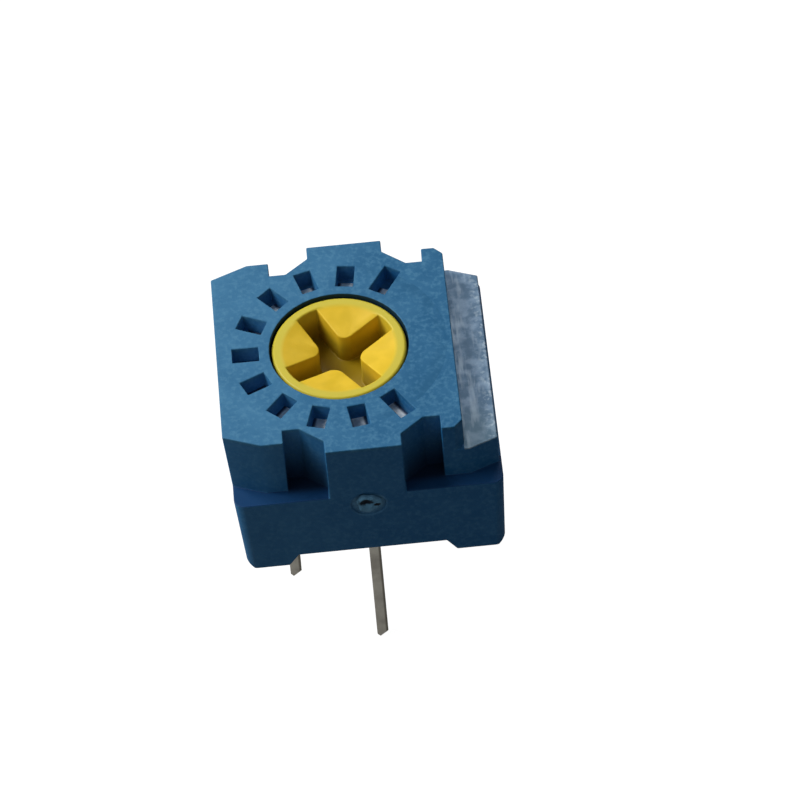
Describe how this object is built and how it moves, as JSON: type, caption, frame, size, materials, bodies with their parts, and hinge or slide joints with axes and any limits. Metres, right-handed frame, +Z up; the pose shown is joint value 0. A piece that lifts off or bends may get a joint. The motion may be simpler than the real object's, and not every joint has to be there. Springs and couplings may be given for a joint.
{
  "type": "trimmer potentiometer",
  "caption": "Square moulded trimmer potentiometer with a cross-slotted rotor, dial windows, sealed underside and straight pins for a circuit board.",
  "frame": {"origin": "on the rotor's axis, at the face of the circuit board that the feet stand on", "axes": "+Z up along the rotor's axis, away from the board; +X to the right, towards the printing shelf; +Y to the back"},
  "size_m": [0.008, 0.0082, 0.0106],
  "materials": {
    "housing": "blue moulded plastic, fine matt top, smoother shelf",
    "rotor": "yellow moulded plastic",
    "seal": "black rubber",
    "wiper": "stamped spring alloy",
    "ceramic": "white fired ceramic",
    "track": "black fired resistive print",
    "pad": "fired silver print",
    "pin": "tinned metal, dull",
    "solder": "solder",
    "resin": "cast sealing resin"
  },
  "bodies": {
    "body": {"housing": "housing", "ceramic_element": "ceramic", "resistive_track": "track", "end_pad_front": "pad", "end_pad_back": "pad", "pin_front": "pin", "pin_back": "pin", "pin_wiper": "pin", "solder_front": "solder", "solder_back": "solder", "sealing_resin": "resin"},
    "rotor": {"rotor": "rotor", "seal_ring": "seal", "wiper": "wiper"}
  },
  "joints": [
    {"name": "rotor_turn", "type": "hinge", "parent": "body", "child": "rotor", "pos_m": [0, 0, 0.0035], "axis": [0, 0, 1], "range_deg": [-122.5, 122.5]}
  ]
}
